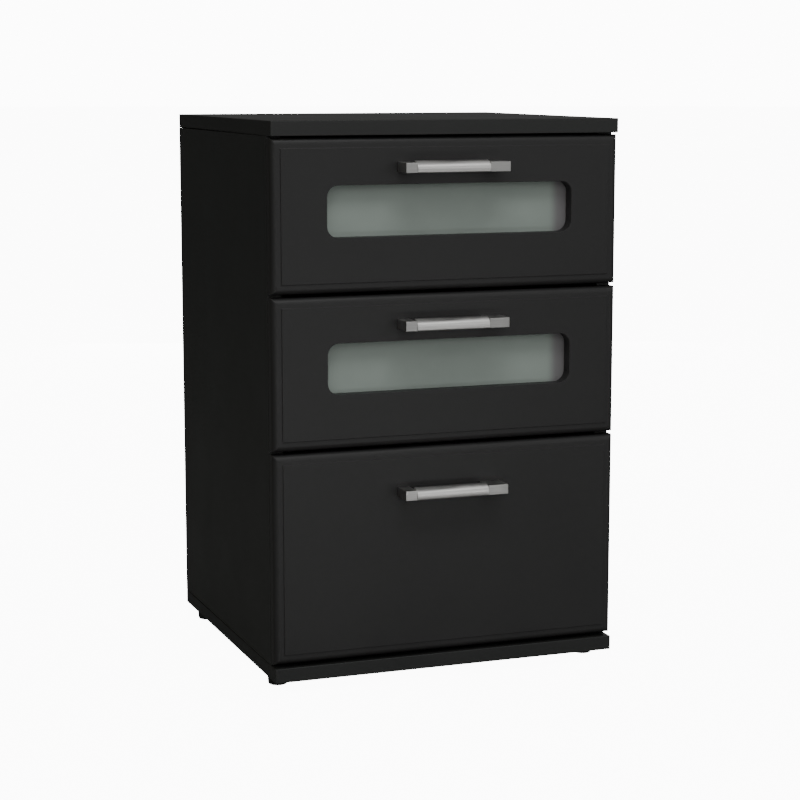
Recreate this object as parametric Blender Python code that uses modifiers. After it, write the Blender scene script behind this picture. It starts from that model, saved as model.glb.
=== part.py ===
"""A bedside cabinet with three drawers on roller runners.

The frame stands on the floor at z = 0. X is across, centred on the cabinet, +Y points to the back,
and Y is zero halfway between the handles and the rear edge. Each drawer slides out along -Y.
"""

import math

import bmesh
import bpy
from mathutils import Matrix, Vector

mm = 0.001

# Cabinet
cabinet_width = 400 * mm
cabinet_depth = 380 * mm
cabinet_height = 616 * mm
panel_thickness = 16 * mm
board_edge = 0.8 * mm  # broken edges of the boards
seat_gap = 0.3 * mm  # between two pieces that touch

# Back panel, in grooves of the four carcass boards
back_thickness = 3 * mm
back_groove_depth = 6 * mm
back_inset = 12 * mm  # rear edge of the boards to the groove
groove_play = 0.5 * mm  # between a thin panel's edge and the floor of its groove

# Glides under the bottom panel
glide_height = 12.5 * mm
glide_diameter = 24 * mm
glide_taper = 1.2 * mm
glide_edge = 2 * mm
glide_side_inset = 15.5 * mm  # glide centre to the side of the cabinet
glide_front_inset = 43 * mm
glide_rear_inset = 40 * mm

# Drawer fronts
front_thickness = 16 * mm
front_seam = 1 * mm  # closed front to the side panels' front edges
small_front_height = 164.4 * mm
gap_above_fronts = 2 * mm
gap_between_fronts = 3.5 * mm
gap_below_fronts = 3.7 * mm
front_edge_round = 6.3 * mm
field_margin = 10.5 * mm  # outer edge of the front to its raised field
field_height = 1.25 * mm
field_slope = 0.4 * mm

# Windows in the two small fronts
window_left_margin = 61.6 * mm
window_right_margin = 56 * mm
window_top_margin = 50 * mm
window_height = 55.5 * mm
window_corner = 12.5 * mm
glass_thickness = 4 * mm
glass_overlap = 8 * mm  # how far the pane reaches behind the front, all round
glass_rebate = 1.5 * mm

# Drawer boxes
box_board_thickness = 12 * mm
box_above_front_bottom = 12 * mm
box_below_front_top = 52 * mm
bottom_thickness = 3 * mm
bottom_groove_depth = 6 * mm
bottom_groove_height = 8 * mm  # lower edge of the box sides to the groove

# Roller runners: across = from the side panel inwards, up = from the cabinet profile's underside
runner_space = 13 * mm  # side panel to drawer box
runner_setback = 2 * mm  # side panel's front edge to the cabinet profile
space_behind_runners = 45.4 * mm
runner_overlap = 80 * mm  # length of the profiles that stays engaged when the drawer is open
sheet = 1.2 * mm
roller_diameter = 16 * mm
roller_width = 5.4 * mm
roller_edge = 0.8 * mm
roller_bore = 5 * mm
roller_play = 0.3 * mm  # rolling and side play of a roller
axle_play = 0.3 * mm
axle_head_diameter = 7 * mm
axle_head_thickness = 0.8 * mm
roller_end_inset = 11 * mm  # roller centre to the end of its profile
profile_play = 0.6 * mm  # between the cabinet profile and the drawer profile
track_lip = 3.5 * mm
rail_rise = 2.8 * mm  # cabinet profile's lip to the underside of the drawer's rail
under_box_flange = 11 * mm

# Handles: their height is measured from the top of the flange
handle_width = 119.4 * mm
handle_projection = 28 * mm
handle_below_small_front_top = 26.3 * mm
handle_below_large_front_top = 42.2 * mm
handle_left_end = 13.2 * mm
handle_right_end = 23 * mm
handle_plate_height = 10.7 * mm
handle_plate_thickness = 3 * mm
handle_flange_thickness = 3.8 * mm
handle_cheek_thickness = 2 * mm
handle_boss_diameter = 8 * mm
handle_boss_inset = 7.6 * mm  # end of the handle to the boss in its left end piece
handle_boss_spacing = 96 * mm
grip_depth = 11 * mm
grip_rise = 1.8 * mm  # top of the grip above the end pieces
grip_curve_height = 7 * mm
grip_wall = 2.2 * mm
grip_proud = 0.7 * mm  # front of the grip before the end pieces
grip_tongue = 8 * mm  # how far each end piece reaches into the grip

# Smoothness of round shapes
round_steps = 20
edge_segments = 4
corner_segments = 6
grip_segments = 9

# Places that follow from the sizes above
half_width = cabinet_width / 2
inner_half_width = half_width - panel_thickness
face_y = (handle_projection - cabinet_depth) / 2
rear_y = face_y + cabinet_depth
front_back_y = face_y + front_thickness
side_front_y = front_back_y + front_seam
floor_of_carcass = glide_height + panel_thickness
ceiling_of_carcass = cabinet_height - panel_thickness
groove_rear_y = rear_y - back_inset
groove_front_y = groove_rear_y - back_thickness - 2 * seat_gap
back_reach = back_groove_depth - groove_play

runner_front_y = side_front_y + runner_setback
runner_rear_y = groove_front_y - space_behind_runners
runner_length = runner_rear_y - runner_front_y
drawer_travel = runner_length - runner_overlap

box_half_width = inner_half_width - runner_space
box_inner_half_width = box_half_width - box_board_thickness
box_front_y = front_back_y + seat_gap
box_rear_y = box_front_y + runner_length

roller_radius = roller_diameter / 2
track_top = sheet
drawer_roller_height = track_top + roller_play + roller_radius
lip_bottom = track_top + 2 * roller_play + roller_diameter + roller_play
profile_height = lip_bottom + sheet
rail_bottom = profile_height + rail_rise
cabinet_roller_height = rail_bottom - roller_play - roller_radius
profile_across = runner_space - seat_gap - sheet
track_width = profile_across - profile_play
box_above_profile = 3 * sheet + seat_gap + roller_play
roller_across = (seat_gap + sheet + profile_across) / 2

sides = {"left": -1, "right": 1}


def heights_of_fronts():
    """Lower and upper edge of each front, from the top down."""
    top = ceiling_of_carcass - gap_above_fronts
    upper = (top - small_front_height, top)
    top = upper[0] - gap_between_fronts
    middle = (top - small_front_height, top)
    top = middle[0] - gap_between_fronts
    lower = (floor_of_carcass + gap_below_fronts, top)
    return {"upper": upper, "middle": middle, "lower": lower}


def clear_scene():
    for obj in list(bpy.data.objects):
        bpy.data.objects.remove(obj, do_unlink=True)


def new_collection(name):
    collection = bpy.data.collections.new(name)
    bpy.context.scene.collection.children.link(collection)
    return collection


def finish(name, colour, roughness, metallic=0.0, alpha=1.0):
    material = bpy.data.materials.new(name)
    material.use_nodes = True
    shader = material.node_tree.nodes["Principled BSDF"]
    shader.inputs["Base Color"].default_value = (*colour, 1.0)
    shader.inputs["Roughness"].default_value = roughness
    shader.inputs["Metallic"].default_value = metallic
    shader.inputs["Alpha"].default_value = alpha
    return material


def move_to(obj, collection):
    for owner in list(obj.users_collection):
        owner.objects.unlink(obj)
    collection.objects.link(obj)


def attach(obj, parent):
    """Parents to an empty that stands unturned in the scene, and keeps the object's place."""
    if parent:
        obj.parent = parent
        obj.location -= parent.location


def sub_part(obj, material, parent=None):
    obj.data.materials.clear()
    obj.data.materials.append(material)
    move_to(obj, parts)
    attach(obj, parent)
    return obj


def helper(obj):
    """A cutter, or a shape that a Boolean joins to a sub-part: it isn't a piece of the object."""
    move_to(obj, cutters)
    obj.hide_render = True
    obj.display_type = "WIRE"
    return obj


def block(name, low, high):
    """A box between two opposite corners, with its origin at its centre."""
    low, high = Vector(low), Vector(high)
    bpy.ops.mesh.primitive_cube_add(size=1, location=(low + high) / 2)
    obj = bpy.context.object
    obj.name = name
    obj.data.transform(Matrix.Diagonal((*(high - low), 1)))
    return obj


def board(name, low, high, edge=board_edge):
    """A block with broken edges."""
    obj = block(name, low, high)
    bevel = obj.modifiers.new("edges", "BEVEL")
    bevel.width = edge
    bevel.segments = 1
    return obj


def boolean(obj, other, operation):
    modifier = obj.modifiers.new(f"{operation.lower()} {other.name}", "BOOLEAN")
    modifier.operation = operation
    modifier.solver = "EXACT"
    modifier.object = other


def cut(obj, cutter):
    boolean(obj, helper(cutter), "DIFFERENCE")


def join(obj, other):
    boolean(obj, helper(other), "UNION")


def smooth(obj, sharp_angle=40):
    obj.data.shade_smooth()
    obj.data.set_sharp_from_angle(angle=math.radians(sharp_angle))


def arc(centre, radii, start, end, segments):
    """Points on an ellipse's arc, both ends included; angles in degrees."""
    points = []
    for step in range(segments + 1):
        angle = math.radians(start + (end - start) * step / segments)
        points.append((centre[0] + radii[0] * math.cos(angle), centre[1] + radii[1] * math.sin(angle)))
    return points


# How a flat outline lies: its own x, y and z as directions of the cabinet's frame
across_view = Matrix(((1, 0, 0), (0, 0, -1), (0, 1, 0)))  # outline in X and Z, extruded along Y
side_view = Matrix(((0, 0, 1), (1, 0, 0), (0, 1, 0)))  # outline in Y and Z, extruded along X


def prism(name, outline, view, length, location):
    """A flat closed outline extruded to a length, half to each side of its location."""
    curve = bpy.data.curves.new(name, "CURVE")
    curve.dimensions = "2D"
    curve.fill_mode = "BOTH"
    curve.extrude = length / 2
    spline = curve.splines.new("POLY")
    spline.points.add(len(outline) - 1)
    for point, (x, y) in zip(spline.points, outline):
        point.co = (x, y, 0, 1)
    spline.use_cyclic_u = True
    drawn = bpy.data.objects.new(name + " outline", curve)
    cutters.objects.link(drawn)
    drawn.matrix_world = Matrix.Translation(location) @ view.to_4x4()
    bpy.context.view_layer.update()

    graph = bpy.context.evaluated_depsgraph_get()
    mesh = bpy.data.meshes.new_from_object(drawn.evaluated_get(graph))
    shape = bmesh.new()
    shape.from_mesh(mesh)
    bmesh.ops.remove_doubles(shape, verts=shape.verts, dist=0.001 * mm)
    bmesh.ops.recalc_face_normals(shape, faces=shape.faces)
    shape.to_mesh(mesh)
    shape.free()
    obj = bpy.data.objects.new(name, mesh)
    cutters.objects.link(obj)
    obj.matrix_world = drawn.matrix_world
    bpy.data.objects.remove(drawn)
    return obj


def turned(name, profile, closed, location, along_x=0):
    """A profile of (radius, height) points turned about its own Z, which along_x = 1 or -1 lays along X."""
    mesh = bpy.data.meshes.new(name)
    edges = [(i, i + 1) for i in range(len(profile) - 1)]
    if closed:
        edges.append((len(profile) - 1, 0))
    mesh.from_pydata([(radius, 0, height) for radius, height in profile], edges, [])
    obj = bpy.data.objects.new(name, mesh)
    cutters.objects.link(obj)
    obj.location = location
    obj.rotation_euler = (0, math.radians(90 * along_x), 0)
    screw = obj.modifiers.new("turn", "SCREW")
    screw.steps = round_steps
    screw.render_steps = round_steps
    screw.use_merge_vertices = True
    screw.merge_threshold = 0.01 * mm
    screw.use_smooth_shade = True
    return obj


def runner_point(side, across, up, profile_bottom):
    """A place on a runner as x and z, from its distances across and up."""
    return (side * (inner_half_width - across), profile_bottom + up)


def make_carcass():
    low, high = floor_of_carcass, ceiling_of_carcass
    top = board("top_panel", (-half_width, face_y, high), (half_width, rear_y, cabinet_height))
    bottom = board("bottom_panel", (-half_width, face_y, glide_height), (half_width, rear_y, low))
    panels = [top, bottom]
    for name, side in sides.items():
        x_values = sorted((side * half_width, side * inner_half_width))
        panels.append(
            board(
                f"side_panel_{name}",
                (x_values[0], side_front_y, low + seat_gap),
                (x_values[1], rear_y, high - seat_gap),
            )
        )
    groove_half_width = inner_half_width + back_groove_depth
    for panel in panels:
        cut(
            panel,
            block(
                f"back groove of {panel.name}",
                (-groove_half_width, groove_front_y, low - back_groove_depth),
                (groove_half_width, groove_rear_y, high + back_groove_depth),
            ),
        )
        sub_part(panel, black_board)
    back = block(
        "back_panel",
        (-inner_half_width - back_reach, groove_front_y + seat_gap, low - back_reach),
        (inner_half_width + back_reach, groove_rear_y - seat_gap, high + back_reach),
    )
    sub_part(back, hardboard)


def make_glides():
    top = glide_height - seat_gap
    radius = glide_diameter / 2
    foot = radius - glide_taper
    profile = [(0, top), (radius, top)]
    profile += arc((foot - glide_edge, glide_edge), (glide_edge, glide_edge), 0, -90, edge_segments)
    profile.append((0, 0))
    for end, y in (("front", face_y + glide_front_inset), ("rear", rear_y - glide_rear_inset)):
        for name, side in sides.items():
            x = side * (half_width - glide_side_inset)
            glide = turned(f"glide_{end}_{name}", profile, False, (x, y, 0))
            sub_part(glide, black_plastic)


def routed_slab(name, low_z, high_z):
    """A drawer front: rounded front edges, and a raised field that stands within a level margin."""
    obj = block(name, (-half_width, face_y + field_height, low_z), (half_width, front_back_y, high_z))
    shape = bmesh.new()
    shape.from_mesh(obj.data)
    face = min(shape.faces, key=lambda f: f.calc_center_median().y)
    rounded = bmesh.ops.bevel(
        shape,
        geom=face.edges[:],
        offset=front_edge_round,
        offset_type="OFFSET",
        segments=edge_segments,
        profile=0.5,
        affect="EDGES",
    )
    face = min(rounded["faces"] + shape.faces[:], key=lambda f: f.calc_center_median().y)
    bmesh.ops.inset_individual(shape, faces=[face], thickness=field_margin - front_edge_round)
    bmesh.ops.inset_individual(shape, faces=[face], thickness=field_slope, depth=field_height)
    shape.to_mesh(obj.data)
    shape.free()
    return obj


def window_area(high_z):
    """Left, right, lower and upper edge of a window, from the top of its front."""
    top = high_z - window_top_margin
    return (
        -half_width + window_left_margin,
        half_width - window_right_margin,
        top - window_height,
        top,
    )


def rounded_rectangle(left, right, low, high, radius):
    radii = (radius, radius)
    outline = arc((right - radius, high - radius), radii, 0, 90, corner_segments)
    outline += arc((left + radius, high - radius), radii, 90, 180, corner_segments)
    outline += arc((left + radius, low + radius), radii, 180, 270, corner_segments)
    outline += arc((right - radius, low + radius), radii, 270, 360, corner_segments)
    return outline


def make_window(drawer, front, high_z, parent):
    left, right, low, high = window_area(high_z)
    reach = glass_overlap + groove_play
    rebate_y = front_back_y - glass_rebate
    opening = rounded_rectangle(left, right, low, high, window_corner)
    centre = (0, (face_y + front_back_y) / 2, 0)
    cut(front, prism(f"window of {front.name}", opening, across_view, 3 * front_thickness, centre))
    cut(
        front,
        block(
            f"glass rebate of {front.name}",
            (left - reach, rebate_y, low - reach),
            (right + reach, front_back_y + front_thickness, high + reach),
        ),
    )
    pane_y = rebate_y + seat_gap
    pane = block(
        f"glass_{drawer}",
        (left - glass_overlap, pane_y, low - glass_overlap),
        (right + glass_overlap, pane_y + glass_thickness, high + glass_overlap),
    )
    sub_part(pane, frosted_glass, parent)


def make_drawer_box(drawer, front, low_z, high_z, parent):
    low = low_z + box_above_front_bottom
    high = high_z - box_below_front_top
    groove_low = low + bottom_groove_height
    groove_high = groove_low + bottom_thickness + 2 * seat_gap
    groove_half_width = box_inner_half_width + bottom_groove_depth
    groove = block(
        f"bottom groove of drawer {drawer}",
        (-groove_half_width, front_back_y - bottom_groove_depth, groove_low),
        (groove_half_width, box_rear_y + front_thickness, groove_high),
    )
    cut(front, groove)
    for name, side in sides.items():
        x_values = sorted((side * box_half_width, side * box_inner_half_width))
        wall = board(
            f"drawer_{drawer}_side_{name}",
            (x_values[0], box_front_y, low),
            (x_values[1], box_rear_y, high),
        )
        boolean(wall, groove, "DIFFERENCE")
        sub_part(wall, box_board, parent)
    rear = board(
        f"drawer_{drawer}_back",
        (-box_inner_half_width + seat_gap, box_rear_y - box_board_thickness, groove_high),
        (box_inner_half_width - seat_gap, box_rear_y, high),
    )
    sub_part(rear, box_board, parent)
    reach = groove_half_width - groove_play
    bottom = block(
        f"drawer_{drawer}_bottom",
        (-reach, front_back_y - bottom_groove_depth + groove_play, groove_low + seat_gap),
        (reach, box_rear_y, groove_high - seat_gap),
    )
    sub_part(bottom, hardboard, parent)


def make_roller(name, side, y, z, parent):
    radius = roller_radius
    half = roller_width / 2
    bore = roller_bore / 2
    profile = [
        (bore, half),
        (radius - roller_edge, half),
        (radius, half - roller_edge),
        (radius, roller_edge - half),
        (radius - roller_edge, -half),
        (bore, -half),
    ]
    x = side * (inner_half_width - roller_across)
    roller = turned(name, profile, True, (x, y, z), along_x=1)
    sub_part(roller, white_plastic, parent)


def axle(name, side, y, z, root_across, head_direction):
    """A riveted axle on a profile's web: a shoulder, the pin that the roller turns on, and its head."""
    pin = roller_bore / 2 - axle_play
    head = axle_head_diameter / 2
    half_roller = roller_width / 2 + roller_play
    root = abs(roller_across - root_across) + sheet / 2
    tip = half_roller + axle_head_thickness
    profile = [
        (0, root),
        (head, root),
        (head, half_roller),
        (pin, half_roller),
        (pin, -half_roller),
        (head, -half_roller),
        (head, -tip),
        (0, -tip),
    ]
    x = side * (inner_half_width - roller_across)
    return turned(name, profile, False, (x, y, z), along_x=-side * head_direction)


def make_cabinet_profile(drawer, name, side, profile_bottom):
    back = seat_gap
    web = seat_gap + sheet
    lip = web + track_lip
    section = [
        (back, 0),
        (track_width, 0),
        (track_width, sheet),
        (web, sheet),
        (web, lip_bottom),
        (lip, lip_bottom),
        (lip, profile_height),
        (back, profile_height),
    ]
    outline = [runner_point(side, across, up, profile_bottom) for across, up in section]
    middle_y = (runner_front_y + runner_rear_y) / 2
    profile = prism(
        f"cabinet_profile_{drawer}_{name}", outline, across_view, runner_length, (0, middle_y, 0)
    )
    roller_y = runner_front_y + roller_end_inset
    lip_start_y = roller_y + roller_radius + roller_play
    x_values = sorted(side * (inner_half_width - across) for across in (web, runner_space))
    cut(
        profile,
        block(
            f"lip cut of {profile.name}",
            (x_values[0], runner_front_y - sheet, profile_bottom + lip_bottom - sheet),
            (x_values[1], lip_start_y, profile_bottom + profile_height + sheet),
        ),
    )
    roller_z = profile_bottom + cabinet_roller_height
    join(profile, axle(f"axle of {profile.name}", side, roller_y, roller_z, web, -1))
    sub_part(profile, white_steel)
    make_roller(f"cabinet_roller_{drawer}_{name}", side, roller_y, roller_z, None)


def make_drawer_profile(drawer, name, side, profile_bottom, parent):
    web = profile_across
    back = runner_space - seat_gap
    under = runner_space + under_box_flange
    rail_edge = roller_across - roller_width / 2 - roller_play
    flange_low = box_above_profile - seat_gap - sheet
    rail_top = rail_bottom + sheet
    section = [
        (rail_edge, rail_bottom),
        (web, rail_bottom),
        (web, flange_low),
        (under, flange_low),
        (under, flange_low + sheet),
        (back, flange_low + sheet),
        (back, rail_top),
        (rail_edge, rail_top),
    ]
    outline = [runner_point(side, across, up, profile_bottom) for across, up in section]
    middle_y = (box_front_y + box_rear_y) / 2
    length = runner_length - 2 * seat_gap
    profile = prism(f"drawer_profile_{drawer}_{name}", outline, across_view, length, (0, middle_y, 0))
    roller_y = box_rear_y - roller_end_inset
    roller_z = profile_bottom + drawer_roller_height
    join(profile, axle(f"axle of {profile.name}", side, roller_y, roller_z, web, 1))
    sub_part(profile, white_steel, parent)
    make_roller(f"drawer_roller_{drawer}_{name}", side, roller_y, roller_z, parent)


def handle_end(name, low_x, high_x, boss_x, tongue_x, flange_top, parent):
    """An end piece: a flange, a front plate and a cheek round a hollow, a boss and a tongue into the grip."""
    back = -seat_gap
    plate_front = grip_proud - handle_projection
    plate_back = plate_front + handle_plate_thickness
    end = block(
        name,
        (low_x, face_y + plate_front, flange_top - handle_plate_height),
        (high_x, face_y + back, flange_top),
    )
    middle_x = (low_x + high_x) / 2
    inwards = 1 if tongue_x > middle_x else -1
    length = high_x - low_x
    cheek_x = middle_x - inwards * (length / 2 - handle_cheek_thickness)
    x_values = sorted((cheek_x, cheek_x + inwards * length))
    cut(
        end,
        block(
            f"hollow of {name}",
            (x_values[0], face_y + plate_back, flange_top - 2 * handle_plate_height),
            (x_values[1], face_y + handle_projection, flange_top - handle_flange_thickness),
        ),
    )

    boss_radius = handle_boss_diameter / 2
    boss_end = plate_front + handle_plate_thickness / 2
    boss_z = flange_top - handle_plate_height + boss_radius + seat_gap
    bpy.ops.mesh.primitive_cylinder_add(
        vertices=round_steps,
        radius=boss_radius,
        depth=back - boss_end,
        location=(boss_x, face_y + (back + boss_end) / 2, boss_z),
        rotation=(math.radians(90), 0, 0),
    )
    boss = bpy.context.object
    boss.name = f"boss of {name}"
    join(end, boss)

    tongue_back = grip_depth - grip_wall - handle_projection
    tongue_low = flange_top - handle_plate_height + grip_wall / 2
    tongue_high = flange_top - handle_flange_thickness - seat_gap
    x_values = sorted((middle_x, tongue_x))
    tongue_front = grip_wall + groove_play - handle_projection
    join(
        end,
        block(
            f"tongue of {name}",
            (x_values[0], face_y + tongue_front, tongue_low),
            (x_values[1], face_y + tongue_back, tongue_high),
        ),
    )
    sub_part(end, brushed_metal, parent)


def make_handle(drawer, flange_top, parent):
    left = -handle_width / 2
    right = handle_width / 2
    grip_left = left + handle_left_end
    grip_right = right - handle_right_end
    boss_x = left + handle_boss_inset
    handle_end(
        f"handle_{drawer}_end_left",
        low_x=left,
        high_x=grip_left - seat_gap,
        boss_x=boss_x,
        tongue_x=grip_left + grip_tongue,
        flange_top=flange_top,
        parent=parent,
    )
    handle_end(
        f"handle_{drawer}_end_right",
        low_x=grip_right + seat_gap,
        high_x=right,
        boss_x=boss_x + handle_boss_spacing,
        tongue_x=grip_right - grip_tongue,
        flange_top=flange_top,
        parent=parent,
    )
    centre = (grip_depth - handle_projection, grip_rise - grip_curve_height)
    outer = (grip_depth, grip_curve_height)
    inner = (grip_depth - grip_wall, grip_curve_height - grip_wall)
    section = arc(centre, outer, 90, 180, grip_segments)
    section.append((centre[0] - outer[0], -handle_plate_height))
    section.append((centre[0] - inner[0], -handle_plate_height))
    section += arc(centre, inner, 180, 90, grip_segments)
    middle = ((grip_left + grip_right) / 2, face_y, flange_top)
    grip = prism(f"handle_{drawer}_grip", section, side_view, grip_right - grip_left, middle)
    smooth(grip)
    sub_part(grip, satin_metal, parent)


def make_drawer(drawer, low_z, high_z, windowed):
    origin = (0, front_back_y, low_z + box_above_front_bottom)
    slide = bpy.data.objects.new(f"drawer_{drawer}_slide", None)
    slide.location = origin
    parts.objects.link(slide)

    front = routed_slab(f"drawer_{drawer}_front", low_z, high_z)
    if windowed:
        make_window(drawer, front, high_z, slide)
    make_drawer_box(drawer, front, low_z, high_z, slide)
    sub_part(front, black_front, slide)

    profile_bottom = low_z + box_above_front_bottom - box_above_profile
    for name, side in sides.items():
        make_cabinet_profile(drawer, name, side, profile_bottom)
        make_drawer_profile(drawer, name, side, profile_bottom, slide)
    drop = handle_below_small_front_top if windowed else handle_below_large_front_top
    make_handle(drawer, high_z - drop, slide)


clear_scene()
parts = new_collection("bedside cabinet")
cutters = new_collection("cutters")

black_board = finish("black board", (0.021, 0.022, 0.021), 0.55)
black_front = finish("black drawer front", (0.023, 0.023, 0.023), 0.5)
hardboard = finish("black hardboard", (0.03, 0.03, 0.03), 0.7)
box_board = finish("grey drawer board", (0.32, 0.32, 0.31), 0.6)
frosted_glass = finish("frosted glass", (0.42, 0.48, 0.45), 0.5, alpha=0.6)
brushed_metal = finish("brushed nickel", (0.5, 0.5, 0.48), 0.4, metallic=1.0)
satin_metal = finish("satin nickel", (0.6, 0.59, 0.57), 0.35, metallic=1.0)
black_plastic = finish("black plastic", (0.015, 0.015, 0.015), 0.5)
white_steel = finish("white coated steel", (0.75, 0.75, 0.73), 0.45)
white_plastic = finish("white roller plastic", (0.8, 0.8, 0.78), 0.4)

make_carcass()
make_glides()
for drawer, (low_z, high_z) in heights_of_fronts().items():
    make_drawer(drawer, low_z, high_z, windowed=drawer != "lower")
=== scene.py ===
"""The finished looks of a bedside cabinet with three drawers on roller runners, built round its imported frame.

Every piece is a surface worked out on a grid: its rows and its columns are the two parameters.
"""

import math

import bpy
import numpy as np
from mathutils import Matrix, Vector


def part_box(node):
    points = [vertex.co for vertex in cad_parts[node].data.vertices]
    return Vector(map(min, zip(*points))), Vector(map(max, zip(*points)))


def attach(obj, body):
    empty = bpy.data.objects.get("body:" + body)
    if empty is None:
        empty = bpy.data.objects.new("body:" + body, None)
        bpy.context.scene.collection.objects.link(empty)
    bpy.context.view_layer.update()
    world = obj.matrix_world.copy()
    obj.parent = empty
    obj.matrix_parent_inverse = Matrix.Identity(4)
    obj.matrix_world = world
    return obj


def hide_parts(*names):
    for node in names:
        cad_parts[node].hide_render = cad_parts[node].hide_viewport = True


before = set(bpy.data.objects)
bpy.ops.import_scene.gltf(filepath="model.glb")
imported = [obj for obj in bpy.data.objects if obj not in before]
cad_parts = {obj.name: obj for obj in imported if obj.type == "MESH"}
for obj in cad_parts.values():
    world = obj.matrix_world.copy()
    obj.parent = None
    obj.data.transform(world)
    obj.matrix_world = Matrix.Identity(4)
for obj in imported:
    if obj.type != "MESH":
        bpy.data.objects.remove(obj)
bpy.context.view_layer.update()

mm = 0.001
drawers = ("upper", "middle", "lower")
windowed = ("upper", "middle")
sides = {"left": -1, "right": 1}

# Edges of the boards and panels
board_edge = 0.8 * mm
side_panel_edge = 0.4 * mm
front_back_edge = 0.25 * mm
thin_panel_edge = 0.2 * mm
pane_edge = 0.5 * mm
thin_edge = 0.4 * mm

# Grooves and the thin panels in them. A hair is a distance that is just more than nothing
seat_gap = 0.3 * mm
groove_play = 0.5 * mm
groove_corner = 0.1 * mm
back_groove_depth = 6 * mm
bottom_groove_depth = 6 * mm
hair = 0.02 * mm

# Routed drawer fronts: insets are from the outer edge, depths from the raised field
edge_round = 6.3 * mm
field_margin = 10.5 * mm
field_slope = 0.4 * mm
field_height = 1.25 * mm
field_fillet = 0.3 * mm
arris_round = 0.35 * mm

# Windows: the pane reaches behind the front all round, and near its right end its colour is darkened to grey as
# painted shade
window_corner = 12.5 * mm
glass_overlap = 8 * mm
rebate_play = 0.5 * mm
rebate_depth = 1.5 * mm
window_arris = 0.5 * mm
window_steps = 12
# Width of the flat painted shade at the pane's right end, and of its blend into the clear colour
painted_shade_width = 8.5 * mm
painted_shade_blend = 13 * mm

# Glides: levels are measured down from the board, insets from the plate's radius
glide_middle = 0.5 * mm
glide_hollow_depth = 0.6 * mm
glide_hollow_radius = 4 * mm
glide_rim_radius = 5 * mm
glide_edge = 2 * mm
glide_taper = 1.2 * mm
glide_chamfer = 0.3 * mm
glide_ring = (
    (0.5 * mm, 3.2 * mm),
    (0.9 * mm, 3.0 * mm),
    (0.9 * mm, 2.6 * mm),
    (glide_chamfer, 2.4 * mm),
    (0.0, 2.1 * mm),
)

# Rollers: a hub round the bore and a tyre, with a dish between them
roller_bore = 5 * mm
roller_shoulder = 1 * mm
hub_top = 1.1 * mm
hub_foot = 1.4 * mm
dish_depth = 0.5 * mm
tyre_foot = 2.2 * mm
tyre_top = 1.8 * mm

# Runners and fittings
sheet_steel = 1.2 * mm
buffer_radius = 4 * mm
buffer_inset = 14 * mm
buffer_chamfer = 0.3 * mm
buffer_wall_share = 0.6
buffer_play = 0.1 * mm
clip_sheet = 0.9 * mm
clip_foot = 7.5 * mm
clip_tongue = 5 * mm
clip_width = 12 * mm
clip_bend = 0.25 * mm
clip_edge = 0.2 * mm
pole_radius = 0.05 * mm
turned_sharp_angle = 50

# Radius and height of each kind of screw head, and the screws' places as shares of a profile's length
runner_screw = (3.5 * mm, 0.9 * mm)
flange_screw = (3 * mm, 1.2 * mm)
clip_screw = (3 * mm, 1.6 * mm)
handle_screw = (4.2 * mm, 2.2 * mm)
runner_screw_shares = (0.2, 0.5, 0.8)
flange_screw_shares = (0.15, 0.6)


def box_of(node):
    """Lowest and highest corner of a frame node, as arrays."""
    low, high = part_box(node)
    return np.array(low), np.array(high)


# ---------------------------------------------------------------- surfaces


def unit(vectors):
    """Vectors divided by their lengths."""
    return vectors / np.linalg.norm(vectors, axis=-1, keepdims=True)


def filleted(corners, radius, steps=4):
    """An outline with round corners. Each corner becomes an arc that touches both of its edges.

    The arc's centre lies on the corner's bisector, at radius / sin(half the corner's angle), and its points
    stand at equal angles between the two touching points."""
    corners = np.asarray(corners, float)
    radius = np.broadcast_to(np.asarray(radius, float), len(corners))[:, None]
    before = unit(np.roll(corners, 1, axis=0) - corners)
    after = unit(np.roll(corners, -1, axis=0) - corners)
    half = 0.5 * np.arccos(np.clip((before * after).sum(1, keepdims=True), -1, 1))
    centre = corners + unit(before + after) * radius / np.sin(half)
    reach = radius / np.tan(half)
    start = corners + before * reach - centre
    end = corners + after * reach - centre
    turn = (np.pi - 2 * half)[:, :, None]
    share = np.linspace(0, 1, steps + 1)[None, :, None]
    from_start = np.sin((1 - share) * turn) * start[:, None]
    from_end = np.sin(share * turn) * end[:, None]
    arcs = (from_start + from_end) / np.sin(turn)
    return (centre[:, None] + arcs).reshape(-1, 2)


def drawn_in(outline, distances):
    """A copy of a counter-clockwise outline for each distance, moved inwards along its corners' mitres."""
    before = unit(outline - np.roll(outline, 1, axis=0))
    after = unit(np.roll(outline, -1, axis=0) - outline)
    turned_before = np.stack([-before[:, 1], before[:, 0]], 1)
    turned_after = np.stack([-after[:, 1], after[:, 0]], 1)
    share = 1 + (turned_before * turned_after).sum(1, keepdims=True)
    mitre = (turned_before + turned_after) / share
    return outline[None] + np.asarray(distances)[:, None, None] * mitre[None]


def carried(outlines, along, places):
    """Closed outlines stood one after another along an axis: a row for each outline, at its place."""
    points = np.empty((len(places), outlines.shape[1], 3))
    points[..., along] = np.asarray(places)[:, None]
    points[..., (along + 1) % 3] = outlines[..., 0]
    points[..., (along + 2) % 3] = outlines[..., 1]
    return points


def rounded_end(edge):
    """How far an outline is drawn in at a rounded end, and how far from the end each of its places is.

    For an edge radius r they are r (1 - sin a) and r (1 - cos a), as a goes from 0 to a quarter turn."""
    angle = np.linspace(0, np.pi / 2, 4)
    return edge * (1 - np.sin(angle)), edge * (1 - np.cos(angle))


def bar(outline, along, low, high, edge=thin_edge):
    """A closed outline carried along a straight line from low to high, with a rounded edge at each end."""
    inset, reach = rounded_end(edge)
    insets = np.concatenate([inset, inset[::-1]])
    places = np.concatenate([low + reach, high - reach[::-1]])
    return carried(drawn_in(outline, insets), along, places)


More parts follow.
